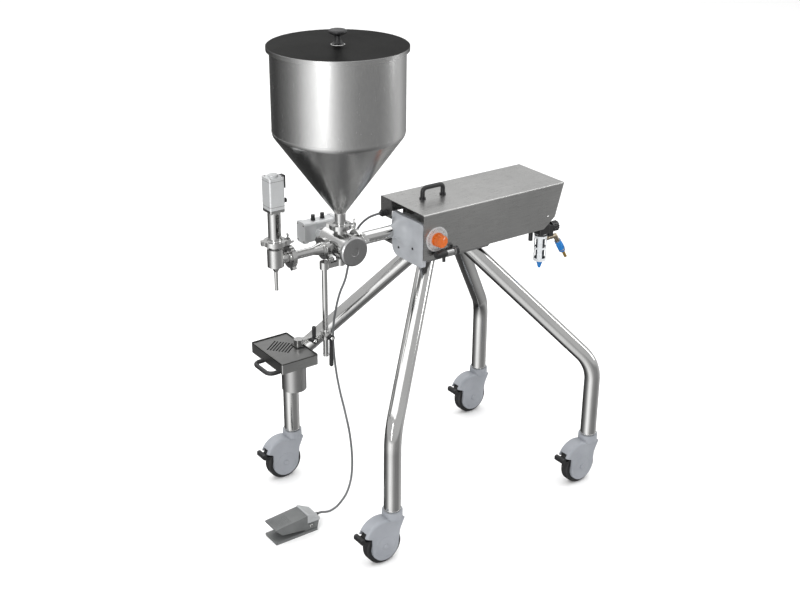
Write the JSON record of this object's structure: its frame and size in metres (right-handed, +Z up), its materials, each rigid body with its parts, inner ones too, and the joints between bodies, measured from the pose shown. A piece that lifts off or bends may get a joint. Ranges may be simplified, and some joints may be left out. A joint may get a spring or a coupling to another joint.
{
  "type": "pneumatic piston filling machine",
  "caption": "Wheeled stand with a covered hopper over a rotary valve, an air-driven metering cylinder, a shut-off nozzle over a sliding tray, an air unit and a foot pedal.",
  "frame": {"origin": "Middle of the machine over the floor, the air line to the pedal not counted; the floor is at Z = 0.", "axes": "+Z is up. -X is the nozzle and tray end, +X the air inlet end. -Y is the side with the volume dial."},
  "size_m": [1.1106, 0.638, 1.5354],
  "materials": {
    "steel_satin": "satin stainless sheet and tube",
    "steel_polished": "polished stainless steel",
    "steel_grey": "machined stainless steel",
    "aluminium": "anodised",
    "plate_blue": "satin grey-blue",
    "castor_grey": "moulded grey",
    "tread_grey": "thermoplastic rubber",
    "black_plastic": "moulded black",
    "black_gloss": "glossy black",
    "orange_plastic": "moulded orange-red",
    "white_plastic": "white",
    "pedal_grey": "dark grey coat",
    "gasket_white": "silicone",
    "brass": "plain",
    "hose_grey": "polyurethane air line",
    "bowl_clear": "pale guard"
  },
  "bodies": {
    "stand": {"front_leg_left": "steel_satin", "front_leg_right": "steel_satin", "rear_leg_left": "steel_satin", "rear_leg_right": "steel_satin", "chassis": "steel_grey", "castor_stems": "steel_polished", "housing_cover": "steel_satin", "front_flange": "plate_blue", "carry_handle": "black_plastic", "scale_ring": "white_plastic", "drive_cylinder": "aluminium", "metering_cylinder": "steel_satin", "valve_body": "steel_grey", "valve_cover": "steel_grey", "valve_actuator": "aluminium", "pipe_clamps": "steel_polished", "clamp_gaskets": "gasket_white", "hopper": "steel_satin", "outlet_pipe": "steel_satin", "nozzle_body": "steel_polished", "nozzle_lantern": "steel_polished", "nozzle_cylinder": "aluminium", "air_fittings": "black_plastic", "rod_bracket": "steel_polished", "support_rod": "steel_polished", "filter_unit": "black_plastic", "filter_bowl": "bowl_clear", "inlet_coupling": "brass", "pedal_base": "pedal_grey", "pedal_hose": "hose_grey"},
    "swivel_1": {"castor_1_hood": "castor_grey"},
    "wheel_1": {"castor_1_hub": "castor_grey", "castor_1_tyre": "tread_grey"},
    "brake_1": {"castor_1_brake": "black_plastic"},
    "swivel_2": {"castor_2_hood": "castor_grey"},
    "wheel_2": {"castor_2_hub": "castor_grey", "castor_2_tyre": "tread_grey"},
    "brake_2": {"castor_2_brake": "black_plastic"},
    "swivel_3": {"castor_3_hood": "castor_grey"},
    "wheel_3": {"castor_3_hub": "castor_grey", "castor_3_tyre": "tread_grey"},
    "brake_3": {"castor_3_brake": "black_plastic"},
    "swivel_4": {"castor_4_hood": "castor_grey"},
    "wheel_4": {"castor_4_hub": "castor_grey", "castor_4_tyre": "tread_grey"},
    "brake_4": {"castor_4_brake": "black_plastic"},
    "lid": {"hopper_lid": "steel_satin", "lid_knob": "black_plastic"},
    "volume_knob": {"dial_knob": "orange_plastic"},
    "throttle": {"throttle_knob": "black_gloss"},
    "rod": {"piston_rod": "steel_polished"},
    "plug": {"valve_plug": "white_plastic"},
    "plunger": {"nozzle_plunger": "steel_polished"},
    "table": {"tray_arm": "steel_polished", "tray": "steel_satin", "tray_handle": "black_plastic"},
    "height_clamp": {"rod_lever": "black_plastic"},
    "tilt_clamp": {"arm_lever": "black_plastic"},
    "regulator": {"regulator_knob": "black_gloss"},
    "pedal_plate": {"treadle": "pedal_grey"}
  },
  "joints": [
    {"name": "castor_1_swivel", "type": "hinge", "parent": "stand", "child": "swivel_1", "pos_m": [-0.27634, -0.288, 0.1657], "axis": [0, 0, 1], "continuous": true},
    {"name": "castor_1_roll", "type": "hinge", "parent": "swivel_1", "child": "wheel_1", "pos_m": [-0.31434, -0.288, 0.06], "axis": [0, 1, 0], "continuous": true},
    {"name": "castor_1_brake_press", "type": "hinge", "parent": "swivel_1", "child": "brake_1", "pos_m": [-0.36834, -0.288, 0.1107], "axis": [0, -1, 0], "range_deg": [0, 10]},
    {"name": "castor_2_swivel", "type": "hinge", "parent": "stand", "child": "swivel_2", "pos_m": [-0.27634, 0.288, 0.1657], "axis": [0, 0, 1], "continuous": true},
    {"name": "castor_2_roll", "type": "hinge", "parent": "swivel_2", "child": "wheel_2", "pos_m": [-0.31434, 0.288, 0.06], "axis": [0, 1, 0], "continuous": true},
    {"name": "castor_2_brake_press", "type": "hinge", "parent": "swivel_2", "child": "brake_2", "pos_m": [-0.36834, 0.288, 0.1107], "axis": [0, -1, 0], "range_deg": [0, 10]},
    {"name": "castor_3_swivel", "type": "hinge", "parent": "stand", "child": "swivel_3", "pos_m": [0.50966, -0.288, 0.1657], "axis": [0, 0, 1], "continuous": true},
    {"name": "castor_3_roll", "type": "hinge", "parent": "swivel_3", "child": "wheel_3", "pos_m": [0.47166, -0.288, 0.06], "axis": [0, 1, 0], "continuous": true},
    {"name": "castor_3_brake_press", "type": "hinge", "parent": "swivel_3", "child": "brake_3", "pos_m": [0.41766, -0.288, 0.1107], "axis": [0, -1, 0], "range_deg": [0, 10]},
    {"name": "castor_4_swivel", "type": "hinge", "parent": "stand", "child": "swivel_4", "pos_m": [0.50966, 0.288, 0.1657], "axis": [0, 0, 1], "continuous": true},
    {"name": "castor_4_roll", "type": "hinge", "parent": "swivel_4", "child": "wheel_4", "pos_m": [0.47166, 0.288, 0.06], "axis": [0, 1, 0], "continuous": true},
    {"name": "castor_4_brake_press", "type": "hinge", "parent": "swivel_4", "child": "brake_4", "pos_m": [0.41766, 0.288, 0.1107], "axis": [0, -1, 0], "range_deg": [0, 10]},
    {"name": "lid_lift", "type": "slide", "parent": "stand", "child": "lid", "axis": [0, 0, 1], "range_m": [0, 0.12]},
    {"name": "volume_turn", "type": "hinge", "parent": "stand", "child": "volume_knob", "pos_m": [0.00416, -0.12, 0.903], "axis": [0, 1, 0], "range_deg": [-135, 135]},
    {"name": "throttle_turn", "type": "hinge", "parent": "stand", "child": "throttle", "pos_m": [0.05816, -0.1257, 0.859], "axis": [1, 0, 0], "range_deg": [-180, 180]},
    {"name": "piston_stroke", "type": "slide", "parent": "stand", "child": "rod", "axis": [1, 0, 0], "range_m": [0, 0.09]},
    {"name": "valve_turn", "type": "hinge", "parent": "stand", "child": "plug", "pos_m": [-0.26184, 0, 0.911], "axis": [0, 1, 0], "range_deg": [0, 90]},
    {"name": "nozzle_open", "type": "slide", "parent": "stand", "child": "plunger", "axis": [0, 0, 1], "range_m": [0, 0.008]},
    {"name": "tray_height", "type": "slide", "parent": "stand", "child": "table", "axis": [0, 0, 1], "range_m": [-0.05, 0.15]},
    {"name": "height_clamp_turn", "type": "hinge", "parent": "table", "child": "height_clamp", "pos_m": [-0.31784, -0.03, 0.637], "axis": [0, 1, 0], "range_deg": [-45, 45]},
    {"name": "arm_clamp_turn", "type": "hinge", "parent": "table", "child": "tilt_clamp", "pos_m": [-0.36784, -0.016, 0.637], "axis": [0, 1, 0], "range_deg": [-45, 45]},
    {"name": "pressure_turn", "type": "hinge", "parent": "stand", "child": "regulator", "pos_m": [0.48616, -0.084, 0.832], "axis": [1, 0, 0], "range_deg": [-150, 150]},
    {"name": "pedal_press", "type": "hinge", "parent": "stand", "child": "pedal_plate", "pos_m": [-0.41184, -0.014, 0.024], "axis": [0, -1, 0], "range_deg": [0, 8], "stiffness_Nm_per_rad": 2, "springref_deg": -22.92}
  ]
}
